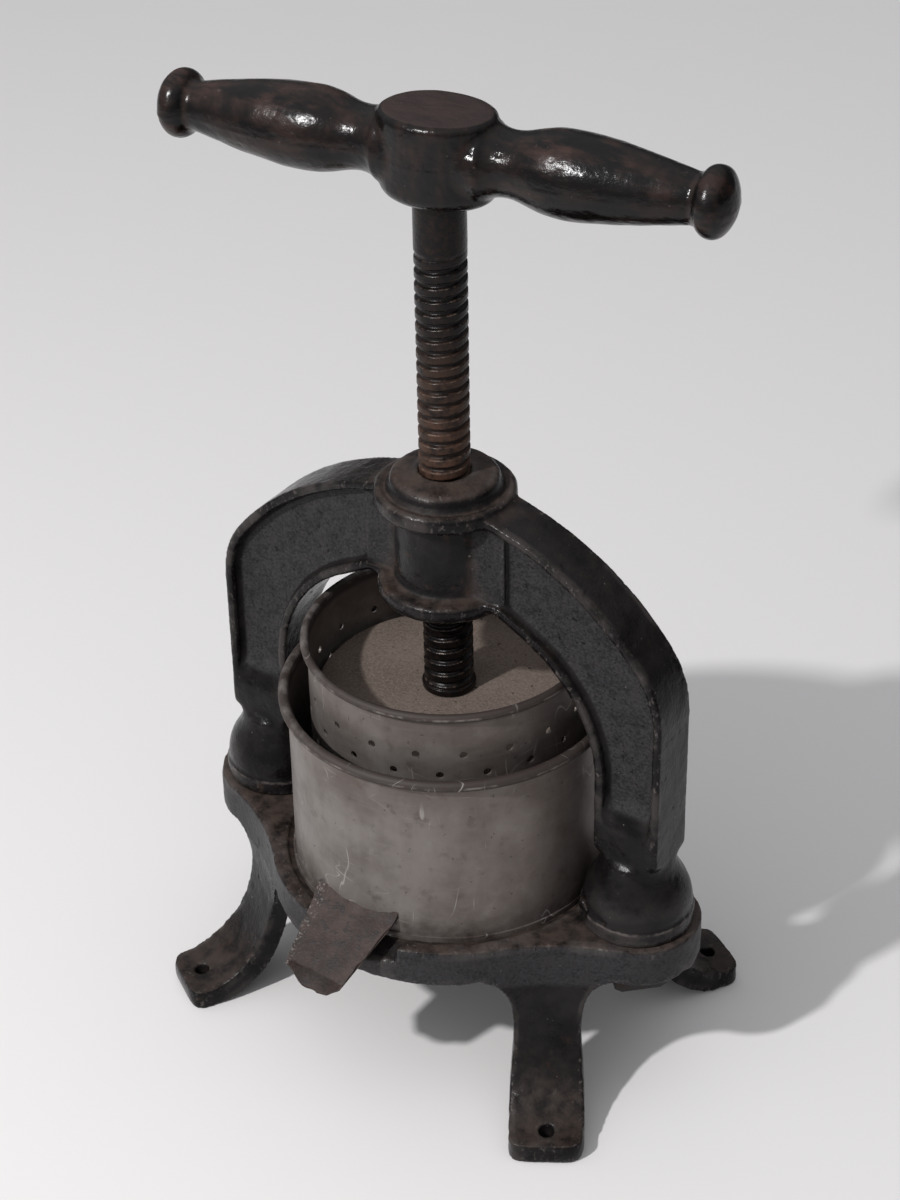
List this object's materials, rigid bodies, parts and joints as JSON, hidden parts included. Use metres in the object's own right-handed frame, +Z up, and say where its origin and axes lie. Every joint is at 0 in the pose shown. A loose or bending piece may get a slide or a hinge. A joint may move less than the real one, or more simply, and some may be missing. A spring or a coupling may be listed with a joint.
{
  "type": "screw press",
  "caption": "Small cast-iron screw press: an arched yoke on a splayed base guides a hand-turned screw that drives a plate into a perforated strainer in a spouted pot.",
  "frame": {"origin": "on the floor, at the middle of the rectangle of the four foot holes, under the screw's axis", "axes": "+Z up along the screw, +X along the arch to the right-hand column, -Y towards the spout"},
  "size_m": [0.2098, 0.1562, 0.3655],
  "materials": {
    "painted_iron": "worn black paint with rust in the hollows",
    "handle_iron": "hand-polished black-brown paint",
    "plate_iron": "matte dusty grey iron",
    "screw_steel": "oily steel with brown rust",
    "pot_sheet": "dull tinned sheet",
    "strainer_sheet": "dull tinned sheet",
    "spout_sheet": "corroded tinned sheet",
    "plain_steel": "dark plain steel"
  },
  "bodies": {
    "frame": {"base_casting": "painted_iron", "yoke_casting": "painted_iron", "pot_wall": "pot_sheet", "pot_rim_wire": "plain_steel", "pot_floor": "pot_sheet", "spout_trough": "spout_sheet", "spout_cover": "spout_sheet", "strainer_wall": "strainer_sheet", "strainer_rim_wire": "plain_steel", "strainer_floor": "strainer_sheet", "right_column_stud": "plain_steel", "right_column_washer": "plain_steel", "right_column_nut": "plain_steel", "left_column_stud": "plain_steel", "left_column_washer": "plain_steel", "left_column_nut": "plain_steel"},
    "plate": {"press_plate": "plate_iron"},
    "screw": {"press_screw": "screw_steel", "swivel_washer": "plain_steel", "swivel_pin": "plain_steel", "handle_casting": "handle_iron", "handle_pin": "plain_steel"}
  },
  "joints": [
    {"name": "plate_slide", "type": "slide", "parent": "frame", "child": "plate", "axis": [0, 0, 1], "range_m": [-0.06301, 0.03251]},
    {"name": "screw_turn", "type": "hinge", "parent": "plate", "child": "screw", "pos_m": [0, 0, 0.2], "axis": [0, 0, 1], "range_deg": [-4536, 2340]}
  ],
  "couplings": [
    {"joint": "plate_slide", "follows": "screw_turn", "m_per_rad": 0.00079577}
  ]
}
